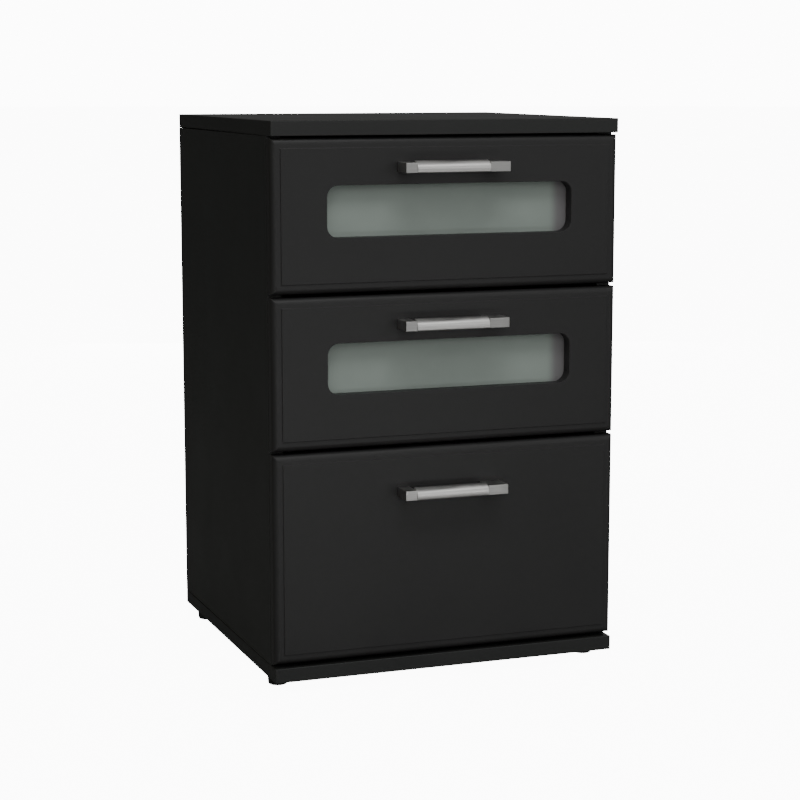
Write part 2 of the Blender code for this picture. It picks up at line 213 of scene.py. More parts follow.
def turned(profile, centre, along, direction=1, steps=48):
    """A profile of (radius, height) rows turned about an axis: column j stands at j equal parts of a turn."""
    profile = np.asarray(profile, float)
    angle = np.arange(steps) * 2 * np.pi / steps
    points = np.empty((len(profile), steps, 3))
    points[..., along] = centre[along] + direction * profile[:, 1][:, None]
    points[..., (along + 1) % 3] = centre[(along + 1) % 3] + profile[:, :1] * np.cos(angle)
    points[..., (along + 2) % 3] = centre[(along + 2) % 3] + profile[:, :1] * np.sin(angle)
    return points


def rings(stations, steps=window_steps):
    """Rounded rectangles one inside another, upright in X and Z: a row for each station.

    A station is (left, right, low, high, corner radius, y). Column by column the points go round the four
    corner arcs, from the right upper one, counter-clockwise."""
    left, right, low, high, radius, y = np.asarray(stations, float).T[:, :, None]
    angle = np.linspace(0, np.pi / 2, steps + 1)[None]
    columns = []
    for corner, (x_side, z_side) in enumerate(((right, high), (left, high), (left, low), (right, low))):
        x_centre = x_side + np.where(x_side == right, -radius, radius)
        z_centre = z_side + np.where(z_side == high, -radius, radius)
        turn = angle + corner * np.pi / 2
        columns.append(np.stack([x_centre + radius * np.cos(turn), z_centre + radius * np.sin(turn)], -1))
    flat = np.concatenate(columns, axis=1)
    points = np.empty((*flat.shape[:2], 3))
    points[..., 0] = flat[..., 0]
    points[..., 1] = y
    points[..., 2] = flat[..., 1]
    return points


def quarter(radius, start, end, steps=4):
    """Points on a quarter circle as (offset one way, offset the other way), from one angle to another."""
    angle = np.radians(np.linspace(start, end, steps + 1))
    return radius * np.cos(angle), radius * np.sin(angle)


def screw_head(centre, along, direction, size):
    """A pan head with a cross recess, standing on a face and pointing along an axis.

    The size is its radius and height. Its surface is a disc of rings and spokes. At a share s of its radius
    the dome stands at height (1 - 0.35 s^4). Within the cross it is lowered by 0.55 height times a smooth
    step, which is full on the cross's two arms and fades out beside them and at their ends."""
    radius, height = size
    share = np.array([0.02, 0.1, 0.18, 0.26, 0.34, 0.42, 0.5, 0.58, 0.66, 0.76, 0.86, 0.94, 0.985, 1.0])
    spokes = 48
    angle = np.arange(spokes) * 2 * np.pi / spokes
    across = share[:, None] * np.cos(angle)
    aside = share[:, None] * np.sin(angle)
    arm = np.minimum(np.abs(across), np.abs(aside))
    reach = np.maximum(np.abs(across), np.abs(aside))
    inside = np.clip((0.2 - arm) / 0.12, 0, 1) * np.clip((0.62 - reach) / 0.14, 0, 1)
    recess = inside * inside * (3 - 2 * inside)
    level = height * (1 - 0.35 * share[:, None] ** 4) - 0.55 * height * recess
    foot = [(share[-1], 0.45 * height), (share[-1], 0.0), (share[0], 0.0)]
    across = np.concatenate([across, [part * np.cos(angle) for part, _ in foot]])
    aside = np.concatenate([aside, [part * np.sin(angle) for part, _ in foot]])
    level = np.concatenate([level, [np.full(spokes, up) for _, up in foot]])
    points = np.empty((*level.shape, 3))
    points[..., along] = centre[along] + direction * level
    points[..., (along + 1) % 3] = centre[(along + 1) % 3] + radius * across
    points[..., (along + 2) % 3] = centre[(along + 2) % 3] + radius * aside
    return points


def piece(name, points, body, material, nodes=(), closed_rows=False, sharp_angle=40):
    """A mesh of quads between neighbouring grid points, the columns joined into rings.

    The rows are joined into a ring too if closed_rows; if not, the first and the last row are filled in.
    Every face is turned round if the volume inside, a sum of signed wedges over the faces, is negative."""
    rows, columns = points.shape[:2]
    index = np.arange(rows * columns).reshape(rows, columns)
    here = index if closed_rows else index[:-1]
    there = np.roll(index, -1, axis=0) if closed_rows else index[1:]
    beside_here = np.roll(here, -1, axis=1)
    beside_there = np.roll(there, -1, axis=1)
    quads = np.stack([here, beside_here, beside_there, there], -1).reshape(-1, 4)
    corner = points.reshape(-1, 3)[quads]
    wedge = np.einsum("ij,ij->i", corner[:, 0], np.cross(corner[:, 1], corner[:, 2]))
    wedge += np.einsum("ij,ij->i", corner[:, 0], np.cross(corner[:, 2], corner[:, 3]))
    volume = wedge.sum()
    loops = quads
    caps = [] if closed_rows else [index[0][::-1], index[-1]]
    for cap in caps:
        ring = points.reshape(-1, 3)[cap]
        volume += (np.cross(ring, np.roll(ring, -1, axis=0)) @ ring.mean(0)).sum()
    if volume < 0:
        loops = loops[:, ::-1]
        caps = [cap[::-1] for cap in caps]
    corners = np.concatenate([loops.ravel(), *caps])
    cap_starts = 4 * len(quads) + np.arange(len(caps)) * columns
    starts = np.concatenate([np.arange(len(quads)) * 4, cap_starts])

    mesh = bpy.data.meshes.new(name)
    mesh.vertices.add(rows * columns)
    mesh.vertices.foreach_set("co", points.astype(np.float32).ravel())
    mesh.loops.add(len(corners))
    mesh.loops.foreach_set("vertex_index", corners.astype(np.int32))
    mesh.polygons.add(len(starts))
    mesh.polygons.foreach_set("loop_start", starts.astype(np.int32))
    mesh.update(calc_edges=True)
    mesh.validate()
    mesh.shade_smooth()
    mesh.set_sharp_from_angle(angle=math.radians(sharp_angle))
    mesh.materials.append(material)

    obj = bpy.data.objects.new(name, mesh)
    bpy.context.scene.collection.objects.link(obj)
    weighted = obj.modifiers.new("even normals", "WEIGHTED_NORMAL")
    weighted.keep_sharp = True
    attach(obj, body)
    if nodes:
        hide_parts(*nodes)
    return obj


# ---------------------------------------------------------------- finishes

# Most of a noise pattern lies between these two values
pattern_low = 0.3
pattern_high = 0.7


def add(tree, kind, settings=None, **inputs):
    """A shader node with its settings and its input values or links; spaces in names are underscores."""
    made = tree.nodes.new("ShaderNode" + kind)
    for key, value in (settings or {}).items():
        setattr(made, key, value)
    for key, value in inputs.items():
        socket = made.inputs[key.replace("_", " ")]
        if isinstance(value, bpy.types.NodeSocket):
            tree.links.new(value, socket)
        else:
            socket.default_value = value
    return made


def start_material(name, **fixed):
    """A material whose shader holds the values that are the same all over the surface."""
    material = bpy.data.materials.new(name)
    material.use_nodes = True
    tree = material.node_tree
    shader = tree.nodes["Principled BSDF"]
    for key, value in fixed.items():
        shader.inputs[key.replace("_", " ")].default_value = value
    place = add(tree, "TexCoord").outputs["Object"]
    return material, tree, shader, place


def stretched(tree, place, scale):
    """The place, scaled by its own factor along each axis."""
    return add(tree, "Mapping", Vector=place, Scale=scale).outputs["Vector"]


def noise(tree, place, scale, detail=2.0, roughness=0.5):
    """A soft random pattern between 0 and 1."""
    made = add(tree, "TexNoise", Vector=place, Scale=scale, Detail=detail, Roughness=roughness)
    return made.outputs["Fac"]


def blended(tree, share, low, high):
    """A colour between two, by a pattern."""
    ramp = add(tree, "ValToRGB", Fac=share)
    ramp.color_ramp.elements[0].position = pattern_low
    ramp.color_ramp.elements[1].position = pattern_high
    ramp.color_ramp.elements[0].color = (*low, 1)
    ramp.color_ramp.elements[1].color = (*high, 1)
    return ramp.outputs["Color"]


def ranged(tree, share, low, high):
    """A number between two, by a pattern."""
    limits = {"From_Min": pattern_low, "From_Max": pattern_high, "To_Min": low, "To_Max": high}
    return add(tree, "MapRange", Value=share, **limits).outputs["Result"]


def bumped(tree, shader, heights, strength, distance):
    """Lets a pattern raise and lower the surface by up to a distance."""
    bump = add(tree, "Bump", Height=heights, Strength=strength, Distance=distance)
    tree.links.new(bump.outputs["Normal"], shader.inputs["Normal"])


def make_black_foil(name, dark, light, rough):
    """Matt black foil: a fine pearled grain, and a faint cloudiness over hands' breadths."""
    material, tree, shader, place = start_material(name, Specular_IOR_Level=0.42)
    grain = noise(tree, place, 1400, 3.0, 0.6)
    cloud = noise(tree, place, 9, 2.0)
    mixed = add(tree, "Math", {"operation": "MULTIPLY_ADD"})
    tree.links.new(grain, mixed.inputs[0])
    mixed.inputs[1].default_value = 0.6
    tree.links.new(cloud, mixed.inputs[2])
    share = add(tree, "Math", {"operation": "MULTIPLY"})
    tree.links.new(mixed.outputs[0], share.inputs[0])
    share.inputs[1].default_value = 0.62
    tree.links.new(blended(tree, share.outputs[0], dark, light), shader.inputs["Base Color"])
    tree.links.new(ranged(tree, cloud, rough - 0.03, rough + 0.05), shader.inputs["Roughness"])
    bumped(tree, shader, grain, 0.25, 0.00006)
    return material


def make_brushed_metal(name, low, high, rough, strokes, bump):
    """Metal brushed lengthways: long thin streaks that change its roughness and its height."""
    material, tree, shader, place = start_material(name, Metallic=1.0, Anisotropic=0.35)
    streaks = noise(tree, stretched(tree, place, strokes), 1.0, 4.0, 0.65)
    patches = noise(tree, place, 60, 2.0)
    tree.links.new(blended(tree, streaks, low, high), shader.inputs["Base Color"])
    tree.links.new(ranged(tree, patches, rough - 0.04, rough + 0.05), shader.inputs["Roughness"])
    bumped(tree, shader, streaks, bump, 0.00004)
    return material


def make_frosted_glass():
    """Satin glass: pale green-grey and cloudy, with a very fine etched grain.

    Towards its right end the colour is mixed to a flat grey. This is painted shade for the shade of the
    drawer's right side, which stands close behind that end of the pane."""
    material, tree, shader, place = start_material(
        "frosted_glass", IOR=1.5, Transmission_Weight=0.2, Specular_IOR_Level=0.2
    )
    etched = noise(tree, place, 2600, 2.0)
    cloud = noise(tree, place, 35, 3.0)
    window_end = box_of("glass_upper")[1][0] - glass_overlap
    # Mask of the painted shade: a smooth step along X that reaches 1 near the window's right end
    across = add(tree, "SeparateXYZ", Vector=place).outputs["X"]
    shade = add(
        tree,
        "MapRange",
        {"interpolation_type": "SMOOTHSTEP"},
        Value=across,
        From_Min=window_end - painted_shade_width - painted_shade_blend,
        From_Max=window_end - painted_shade_width,
    ).outputs["Result"]
    clear = blended(tree, cloud, (0.352, 0.410, 0.372), (0.372, 0.432, 0.392))
    # Color2 is painted shade: a flat grey that the pane's colour turns to at its right end
    colour = add(tree, "MixRGB", Fac=shade, Color1=clear, Color2=(0.225, 0.22, 0.225, 1)).outputs["Color"]
    tree.links.new(colour, shader.inputs["Base Color"])
    tree.links.new(ranged(tree, cloud, 0.44, 0.52), shader.inputs["Roughness"])
    bumped(tree, shader, etched, 0.2, 0.00003)
    return material


def make_plain(name, low, high, rough, grain_scale, bump=0.2, depth=0.00005, **fixed):
    """A moulded, coated or pressed surface: a fine grain in its colour, roughness and height."""
    material, tree, shader, place = start_material(name, **fixed)
    grain = noise(tree, place, grain_scale, 3.0, 0.6)
    cloud = noise(tree, place, grain_scale / 40, 2.0)
    tree.links.new(blended(tree, cloud, low, high), shader.inputs["Base Color"])
    tree.links.new(ranged(tree, grain, rough - 0.05, rough + 0.05), shader.inputs["Roughness"])
    bumped(tree, shader, grain, bump, depth)
    return material


def make_hardboard():
    """Pressed fibre board, lacquered: short fibres lying every way."""
    material, tree, shader, place = start_material("hardboard", Specular_IOR_Level=0.35)
    fibres = noise(tree, stretched(tree, place, (260, 900, 900)), 1.0, 4.0, 0.7)
    crossing = noise(tree, stretched(tree, place, (900, 900, 260)), 1.0, 4.0, 0.7)
    both = add(tree, "Math", {"operation": "MAXIMUM"})
    tree.links.new(fibres, both.inputs[0])
    tree.links.new(crossing, both.inputs[1])
    colour = blended(tree, both.outputs[0], (0.018, 0.017, 0.016), (0.034, 0.032, 0.03))
    tree.links.new(colour, shader.inputs["Base Color"])
    tree.links.new(ranged(tree, both.outputs[0], 0.6, 0.75), shader.inputs["Roughness"])
    bumped(tree, shader, both.outputs[0], 0.4, 0.0001)
    return material


black_board = make_black_foil("black_board", (0.0140, 0.0150, 0.0145), (0.0190, 0.0200, 0.0190), 0.48)
black_front = make_black_foil("black_front", (0.0150, 0.0150, 0.0150), (0.0200, 0.0200, 0.0200), 0.46)
hardboard = make_hardboard()
drawer_board = make_plain("drawer_board", (0.27, 0.27, 0.262), (0.31, 0.31, 0.30), 0.55, 1800)
frosted_glass = make_frosted_glass()
brushed_nickel = make_brushed_metal(
    "brushed_nickel", (0.40, 0.40, 0.39), (0.52, 0.52, 0.505), 0.36, (40, 2600, 2600), 0.35
)
satin_nickel = make_brushed_metal(
    "satin_nickel", (0.69, 0.685, 0.67), (0.77, 0.76, 0.74), 0.40, (400, 2600, 2600), 0.15
)
black_plastic = make_plain("black_plastic", (0.012, 0.012, 0.012), (0.018, 0.018, 0.018), 0.5, 1500)
rubber = make_plain("black_rubber", (0.008, 0.008, 0.008), (0.012, 0.012, 0.012), 0.75, 2200)
coated_steel = make_plain("coated_steel", (0.72, 0.72, 0.70), (0.78, 0.78, 0.76), 0.4, 1300)
roller_plastic = make_plain("roller_plastic", (0.78, 0.78, 0.75), (0.84, 0.84, 0.81), 0.38, 900)
zinc = make_brushed_metal(
    "zinc_plated_steel", (0.55, 0.56, 0.57), (0.68, 0.69, 0.70), 0.3, (900, 900, 900), 0.1
)


# ---------------------------------------------------------------- carcass

other_two = {0: (1, 2), 1: (2, 0), 2: (0, 1)}


def rectangle(node, along):
    """The four corners of a frame node's box seen along an axis, counter-clockwise from the lowest."""
    low, high = box_of(node)
    first, second = other_two[along]
    return [
        (low[first], low[second]),
        (high[first], low[second]),
        (high[first], high[second]),
        (low[first], high[second]),
    ]


def grooved(corners, edge, face, start, end, depth, corner=groove_corner):
    """An outline of a board with a groove in one face, of which 0 is from the first corner to the second.

    The groove runs from start to end along that face, and is depth deep."""
    runs = face % 2
    inwards = 1 if face in (0, 3) else -1
    ends = (start, end) if face < 2 else (end, start)
    level = corners[face][1 - runs]
    cut = []
    for place, deep in ((ends[0], 0), (ends[0], depth), (ends[1], depth), (ends[1], 0)):
        across = level + inwards * deep
        cut.append((place, across) if runs == 0 else (across, place))
    radii = [edge] * (face + 1) + [corner] * 4 + [edge] * (3 - face)
    return filleted(corners[: face + 1] + cut + corners[face + 1 :], radii)


def board(node, along, body, material, edge=board_edge, name=None, groove=None):
    """A board over its frame node's box, carried along one axis, with a groove that runs through or none."""
    low, high = box_of(node)
    corners = rectangle(node, along)
    outline = grooved(corners, edge, *groove) if groove else filleted(corners, edge)
    points = bar(outline, along, low[along], high[along], edge)
    return piece(name or f"{node}_board", points, body, material, [node])


def make_shelf(node, face):
    """The top or the bottom panel: its groove for the back panel stops before both ends.

    The outline carried across has the same points all along. Before and after the groove they are there too,
    with a depth of next to nothing."""
    low, high = box_of(node)
    corners = rectangle(node, 0)
    least_corner = hair / 4
    solid = grooved(corners, board_edge, face, *back_groove, hair, least_corner)
    cut = grooved(corners, board_edge, face, *back_groove, back_groove_depth, least_corner)
    inner_low, inner_high = box_of("back_panel")
    groove_ends = (inner_low[0] - groove_play, inner_high[0] + groove_play)
    inset, reach = rounded_end(board_edge)
    places = [*(low[0] + reach), groove_ends[0], groove_ends[0] + hair]
    places += [groove_ends[1] - hair, groove_ends[1], *(high[0] - reach[::-1])]
    flat = [*drawn_in(solid, inset), solid, cut, cut, solid, *drawn_in(solid, inset[::-1])]
    points = carried(np.array(flat), 0, places)
    piece(f"{node}_board", points, "cabinet", black_board, [node])


back_panel_low, back_panel_high = box_of("back_panel")
back_groove = (back_panel_low[1] - seat_gap, back_panel_high[1] + seat_gap)
make_shelf("top_panel", 0)
make_shelf("bottom_panel", 2)
for side, face in (("left", 1), ("right", 3)):
    groove = (face, *back_groove, back_groove_depth)
    board(f"side_panel_{side}", 2, "cabinet", black_board, side_panel_edge, groove=groove)
board("back_panel", 2, "cabinet", hardboard, thin_panel_edge)


def make_glide(node):
    """A glide: a tapered foot with a round lower edge, a shallow ring cut above it and a plate on top."""
    low, high = box_of(node)
    centre = (low + high) / 2
    height = high[2] - low[2]
    radius = (high[0] - low[0]) / 2
    across, up = quarter(glide_edge, -90, 0, 6)
    foot = radius - glide_taper
    profile = [(glide_middle, glide_hollow_depth), (glide_hollow_radius, glide_hollow_depth)]
    profile.append((glide_rim_radius, 0))
    profile += list(zip(foot - glide_edge + across, glide_edge + up))
    profile += [(radius - inset, height - level) for inset, level in glide_ring]
    profile += [(radius, height - glide_chamfer), (radius - glide_chamfer, height), (glide_middle, height)]
    points = turned(profile, (centre[0], centre[1], low[2]), 2)
    piece(
        f"{node}_foot",
        points,
        "cabinet",
        black_plastic,
        [node],
        sharp_angle=turned_sharp_angle,
    )


for end in ("front", "rear"):
    for side in sides:
        make_glide(f"glide_{end}_{side}")


# ---------------------------------------------------------------- drawer fronts


def front_stations(low, high):
    """The front's section from its back, round its outer edge, to the edge of its raised field.

    Each station is (inset from the outer edge, y, corner radius). After the quarter circle of the outer edge
    comes the level margin, and then a slope up to the field, whose two ends are eased by small fillets."""
    face, back = low[1], high[1]
    across, deep = quarter(front_back_edge, 90, 0, 3)
    stations = [(front_back_edge - a, back - front_back_edge + d, arris_round) for a, d in zip(across, deep)]
    across, deep = quarter(edge_round, 0, 90, 10)
    low_level = face + field_height
    stations += [(edge_round - a, low_level + edge_round - d, arris_round) for a, d in zip(across, deep)]
    stations += [
        (field_margin - field_fillet, low_level, arris_round),
        (field_margin - 0.3 * field_fillet, low_level - 0.1 * field_fillet, arris_round),
        (field_margin + 0.3 * field_slope, low_level - 0.5 * field_fillet, arris_round),
        (field_margin + 0.7 * field_slope, face + 0.5 * field_fillet, arris_round),
        (field_margin + field_slope + 0.3 * field_fillet, face + 0.1 * field_fillet, arris_round),
        (field_margin + field_slope + field_fillet, face, arris_round),
    ]
    return stations


def window_of(drawer):
    """Left, right, lower and upper edge of a window: its pane's box less the part behind the front."""
    low, high = box_of(f"glass_{drawer}")
    low += glass_overlap
    high -= glass_overlap
    return low[0], high[0], low[2], high[2]


def make_front(drawer):
    """A routed front: rings from its back, round its edge and onto its field, the first and last filled in.

    With a window, the rings go on over its round arris and through its rebate, back to the first ring."""
    node = f"drawer_{drawer}_front"
    low, high = box_of(node)
    stations = [
        (low[0] + inset, high[0] - inset, low[2] + inset, high[2] - inset, corner, y)
        for inset, y, corner in front_stations(low, high)
    ]
    if drawer in windowed:
        left, right, bottom, top = window_of(drawer)
        face, back = low[1], high[1]
        across, deep = quarter(window_arris, 90, 0, 4)
        for a, d in zip(across, deep):
            grow = window_arris - a
            corner = window_corner + grow
            y = face + window_arris - d
            stations.append((left - grow, right + grow, bottom - grow, top + grow, corner, y))
        stations.append((left, right, bottom, top, window_corner, back - rebate_depth))
        reach = glass_overlap + rebate_play
        for y in (back - rebate_depth, back):
            stations.append((left - reach, right + reach, bottom - reach, top + reach, arris_round, y))
    points = rings(stations)
    piece(
        f"{node}_routed",
        points,
        f"drawer_{drawer}",
        black_front,
        [node],
        closed_rows=drawer in windowed,
        sharp_angle=30,
    )


for drawer in drawers:
    make_front(drawer)


def make_pane(drawer):
    """A pane with arrised edges: a rectangle with small round corners carried through its thickness."""
    node = f"glass_{drawer}"
    board(node, 1, f"drawer_{drawer}", frosted_glass, pane_edge, f"{node}_pane")


for drawer in windowed:
    make_pane(drawer)


# ---------------------------------------------------------------- handles

plate_thickness = 3 * mm
flange_thickness = 3.8 * mm
cheek_thickness = 2 * mm
hollow_fillet = 1.2 * mm
flange_round = 0.6 * mm
handle_edge = 0.35 * mm
joint_line = 0.06 * mm
grip_depth = 11 * mm
grip_curve = 8.2 * mm
grip_wall = 2.2 * mm
grip_turn_back = 0.25 * mm
grip_end_edge = 0.3 * mm
boss_radius = 4 * mm
boss_edge = 0.4 * mm
boss_inset = 7.6 * mm
boss_spacing = 96 * mm


def make_handle_end(drawer, side):
    """An end piece, carried along its width: full at its outer cheek, and then an L of flange and plate.

    Both sections have the same points. In the full one the hollow's three corners lie just inside the lower
    back edge, so the hollow opens with a straight wall where the cheek ends."""
    node = f"handle_{drawer}_end_{side}"
    low, high = box_of(node)
    grip_low, grip_high = box_of(f"handle_{drawer}_grip")
    if side == "left":
        high[0] = grip_low[0] - joint_line
    else:
        low[0] = grip_high[0] + joint_line
    back, front = high[1], low[1]

    def section(hollow_front, hollow_top):
        """The end piece's outline in Y and Z, with a hollow behind the plate and under the flange."""
        corners = [
            (front, low[2]),
            (hollow_front, low[2]),
            (hollow_front, hollow_top),
            (back, hollow_top),
            (back, high[2]),
            (front, high[2]),
        ]
        near = 0.2 * min(hollow_top - low[2], back - hollow_front)
        edge = min(handle_edge, near)
        radii = [handle_edge, edge, min(hollow_fillet, near), edge, handle_edge, flange_round]
        return filleted(corners, radii)

    full = section(back - hair, low[2] + hair)
    hollow = section(front + plate_thickness, high[2] - flange_thickness)
    inset, reach = rounded_end(handle_edge)
    outwards = sides[side]
    outer, inner = (low[0], high[0]) if side == "left" else (high[0], low[0])
    cheek = outer - outwards * cheek_thickness
    places = [*(outer - outwards * reach), cheek, cheek - outwards * hair, *(inner + outwards * reach[::-1])]
    outlines = [*drawn_in(full, inset), full, hollow, *drawn_in(hollow, inset[::-1])]
    points = carried(np.array(outlines), 0, places)
    piece(f"{node}_plate", points, f"drawer_{drawer}", brushed_nickel, [node])


def make_grip(drawer):
    """The grip: a sheet whose section goes down a quarter ellipse and turns back a little to its lower edge.

    Below the ellipse, at a share s of the way down to the lower edge, the sheet stands turn_back s^2 further
    back, so its front has no edge and its lower third looks down."""
    node = f"handle_{drawer}_grip"
    low, high = box_of(node)
    centre = np.array([high[1], high[2] - grip_curve])
    outer = np.array([grip_depth, grip_curve])
    inner = outer - grip_wall
    angle = np.radians(np.linspace(90, 180, 17))
    ring = np.stack([np.cos(angle), np.sin(angle)], 1)
    share = np.linspace(0, 1, 8)[1:, None]
    drop = centre[1] - low[2] - grip_wall / 2
    falling = np.concatenate([grip_turn_back * share**2, -drop * share], 1)
    outer_curve = np.concatenate([centre + outer * ring, centre - (outer[0], 0) + falling])
    inner_curve = np.concatenate([centre + inner * ring, centre - (inner[0], 0) + falling])[::-1]
    across, up = quarter(grip_wall / 2, 180, 360, 8)
    rim_y = low[1] + grip_turn_back + grip_wall / 2
    rim = np.stack([rim_y + across, low[2] + grip_wall / 2 + up], 1)[1:-1]
    lip_across, lip_up = quarter(grip_wall / 2, -90, 90, 6)
    lip = np.stack([high[1] - grip_wall / 2 + lip_across, high[2] - grip_wall / 2 + lip_up], 1)
    outer_curve = outer_curve[outer_curve[:, 0] < high[1] - grip_wall / 2]
    inner_curve = inner_curve[inner_curve[:, 0] < high[1] - grip_wall / 2]
    outline = np.concatenate([outer_curve, rim, inner_curve, lip])
    points = bar(outline, 0, low[0], high[0], grip_end_edge)
    piece(f"{node}_bow", points, f"drawer_{drawer}", satin_nickel, [node])


for drawer in drawers:
    for side in sides:
        make_handle_end(drawer, side)
    make_grip(drawer)


# ---------------------------------------------------------------- drawer boxes and runners

for drawer in drawers:
    body = f"drawer_{drawer}"
    bottom_low, bottom_high = box_of(f"{body}_bottom")
    for side, face in (("left", 2), ("right", 0)):
        groove = (face, bottom_low[2] - seat_gap, bottom_high[2] + seat_gap, bottom_groove_depth)
        board(f"{body}_side_{side}", 1, body, drawer_board, groove=groove)
    board(f"{body}_back", 0, body, drawer_board)
    board(f"{body}_bottom", 1, body, hardboard, thin_panel_edge)

for name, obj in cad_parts.items():
    if "_profile_" in name:
        obj.data.materials.clear()
        obj.data.materials.append(coated_steel)


def make_roller(node):
    """A roller: a tyre with round shoulders between two faces that are dished round a raised hub."""
    low, high = box_of(node)
    centre = (low + high) / 2
    half = (high[0] - low[0]) / 2
    radius = (high[2] - low[2]) / 2
    across, out = quarter(roller_shoulder, 90, 0, 5)
    face = [
        (roller_bore / 2, half),
        (roller_bore / 2 + hub_top, half),
        (roller_bore / 2 + hub_foot, half - dish_depth),
        (radius - tyre_foot, half - dish_depth),
        (radius - tyre_top, half),
    ]
    face += list(zip(radius - roller_shoulder + out, half - roller_shoulder + across))
    profile = face + [(distance, -level) for distance, level in reversed(face)]
    points = turned(profile, centre, 0)
    piece(
        f"{node}_wheel",
        points,
        node,
        roller_plastic,
        [node],
        closed_rows=True,
        sharp_angle=turned_sharp_angle,
    )


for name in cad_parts:
    if "_roller_" in name:
        make_roller(name)


# ---------------------------------------------------------------- fittings


def make_boss(drawer, side):
    """A handle's boss, from the front's face to behind the end plate, and its screw from inside the front."""
    end_low, end_high = box_of(f"handle_{drawer}_end_{side}")
    front_back = box_of(f"drawer_{drawer}_front")[1][1]
    handle_left = box_of(f"handle_{drawer}_end_left")[0][0]
    x = handle_left + boss_inset + (boss_spacing if side == "right" else 0)
    z = end_low[2] + seat_gap + boss_radius
    depth = end_high[1] - end_low[1] - plate_thickness / 2
    across, up = quarter(boss_edge, 90, 0, 4)
    profile = [(pole_radius, 0), *zip(boss_radius - boss_edge + up, boss_edge - across)]
    profile += [(boss_radius, depth), (pole_radius, depth)]
    body = f"drawer_{drawer}"
    name = f"handle_{drawer}_boss_{side}"
    points = turned(profile, (x, end_high[1], z), 1, -1)
    piece(name, points, body, brushed_nickel, sharp_angle=turned_sharp_angle)
    points = screw_head((x, front_back + hair, z), 1, 1, handle_screw)
    piece(f"handle_{drawer}_screw_{side}", points, body, zinc, sharp_angle=turned_sharp_angle)


for drawer in drawers:
    for side in sides:
        make_boss(drawer, side)


def make_buffers(drawer):
    """Small round rubber buffers on the back of a front, near its corners, where it meets the side panels."""
    low, high = box_of(f"drawer_{drawer}_front")
    panel_low, panel_high = box_of("side_panel_right")
    x = (panel_low[0] + panel_high[0]) / 2
    thickness = panel_low[1] - high[1] - buffer_play
    profile = [(pole_radius, hair), (buffer_radius, hair), (buffer_radius, buffer_wall_share * thickness)]
    profile += [(buffer_radius - buffer_chamfer, thickness), (pole_radius, thickness)]
    for side, sign in sides.items():
        for end, z in (("low", low[2] + buffer_inset), ("high", high[2] - buffer_inset)):
            points = turned(profile, (sign * x, high[1], z), 1)
            name = f"buffer_{drawer}_{side}_{end}"
            body = f"drawer_{drawer}"
            piece(name, points, body, rubber, sharp_angle=turned_sharp_angle)


for drawer in drawers:
    make_buffers(drawer)


def make_clip(name, drawer, x, edge_z, inwards):
    """A bent steel clip: a foot on the front's back, a step over the pane's edge and a tongue on the pane.

    Its outline in Y and Z is carried along X, and one screw holds its foot. Its tongue points upwards if
    inwards is 1, and downwards if it is -1."""
    back = box_of(f"drawer_{drawer}_front")[1][1] + hair
    over = box_of(f"glass_{drawer}")[1][1] + hair
    sheet = clip_sheet
    section = [
        (back, edge_z - clip_foot),
        (back + sheet, edge_z - clip_foot),
        (back + sheet, edge_z - sheet - hair),
        (over + sheet, edge_z - sheet - hair),
        (over + sheet, edge_z + clip_tongue),
        (over, edge_z + clip_tongue),
        (over, edge_z - hair),
        (back, edge_z - hair),
    ]
    if inwards < 0:
        section = [(y, 2 * edge_z - z) for y, z in reversed(section)]
    outline = filleted(section, clip_bend)
    body = f"drawer_{drawer}"
    points = bar(outline, 0, x - clip_width / 2, x + clip_width / 2, clip_edge)
    piece(name, points, body, zinc)
    screw_z = edge_z - inwards * (clip_foot + sheet) / 2
    points = screw_head((x, back + sheet + hair, screw_z), 1, 1, clip_screw)
    piece(f"{name}_screw", points, body, zinc, sharp_angle=turned_sharp_angle)


for drawer in windowed:
    pane_low, pane_high = box_of(f"glass_{drawer}")
    third = (pane_high[0] - pane_low[0]) / 3
    for side, x in (("left", pane_low[0] + third / 2), ("right", pane_high[0] - third / 2)):
        make_clip(f"clip_{drawer}_{side}_low", drawer, x, pane_low[2] - hair, 1)
        make_clip(f"clip_{drawer}_{side}_high", drawer, x, pane_high[2] + hair, -1)


def make_runner_screws(drawer, side, sign):
    """Screws that hold a cabinet profile to its side panel and a drawer profile under its drawer's side."""
    low, high = box_of(f"cabinet_profile_{drawer}_{side}")
    web = (high[0] if sign > 0 else low[0]) - sign * sheet_steel
    length = high[1] - low[1]
    z = (low[2] + high[2]) / 2
    for number, share in enumerate(runner_screw_shares):
        points = screw_head((web - sign * hair, low[1] + share * length, z), 0, -sign, runner_screw)
        name = f"runner_screw_{drawer}_{side}_{number + 1}"
        piece(name, points, "cabinet", zinc, sharp_angle=turned_sharp_angle)
    low, high = box_of(f"drawer_profile_{drawer}_{side}")
    wall_low, wall_high = box_of(f"drawer_{drawer}_side_{side}")
    flange = wall_low[2] - seat_gap - sheet_steel
    x = (wall_low[0] + wall_high[0]) / 2
    for number, share in enumerate(flange_screw_shares):
        points = screw_head((x, low[1] + share * length, flange - hair), 2, -1, flange_screw)
        name = f"flange_screw_{drawer}_{side}_{number + 1}"
        piece(name, points, f"drawer_{drawer}", zinc, sharp_angle=turned_sharp_angle)


for drawer in drawers:
    for side, sign in sides.items():
        make_runner_screws(drawer, side, sign)


# ---------------------------------------------------------------- floor, light and camera

floor_radius = 40
floor_sides = 96

# How bright the surroundings are where they are seen, and how much they light the cabinet
world_glow = 12.0
world_light = 0.46
floor_glow = 11.0
floor_paint = 0.85
floor_bounce = 0.2

# Where the surroundings are brightest as a light, and the cosine to it at which that light has faded out
bright_side = (0.30, -0.75, 0.60)
dim_side = -0.5

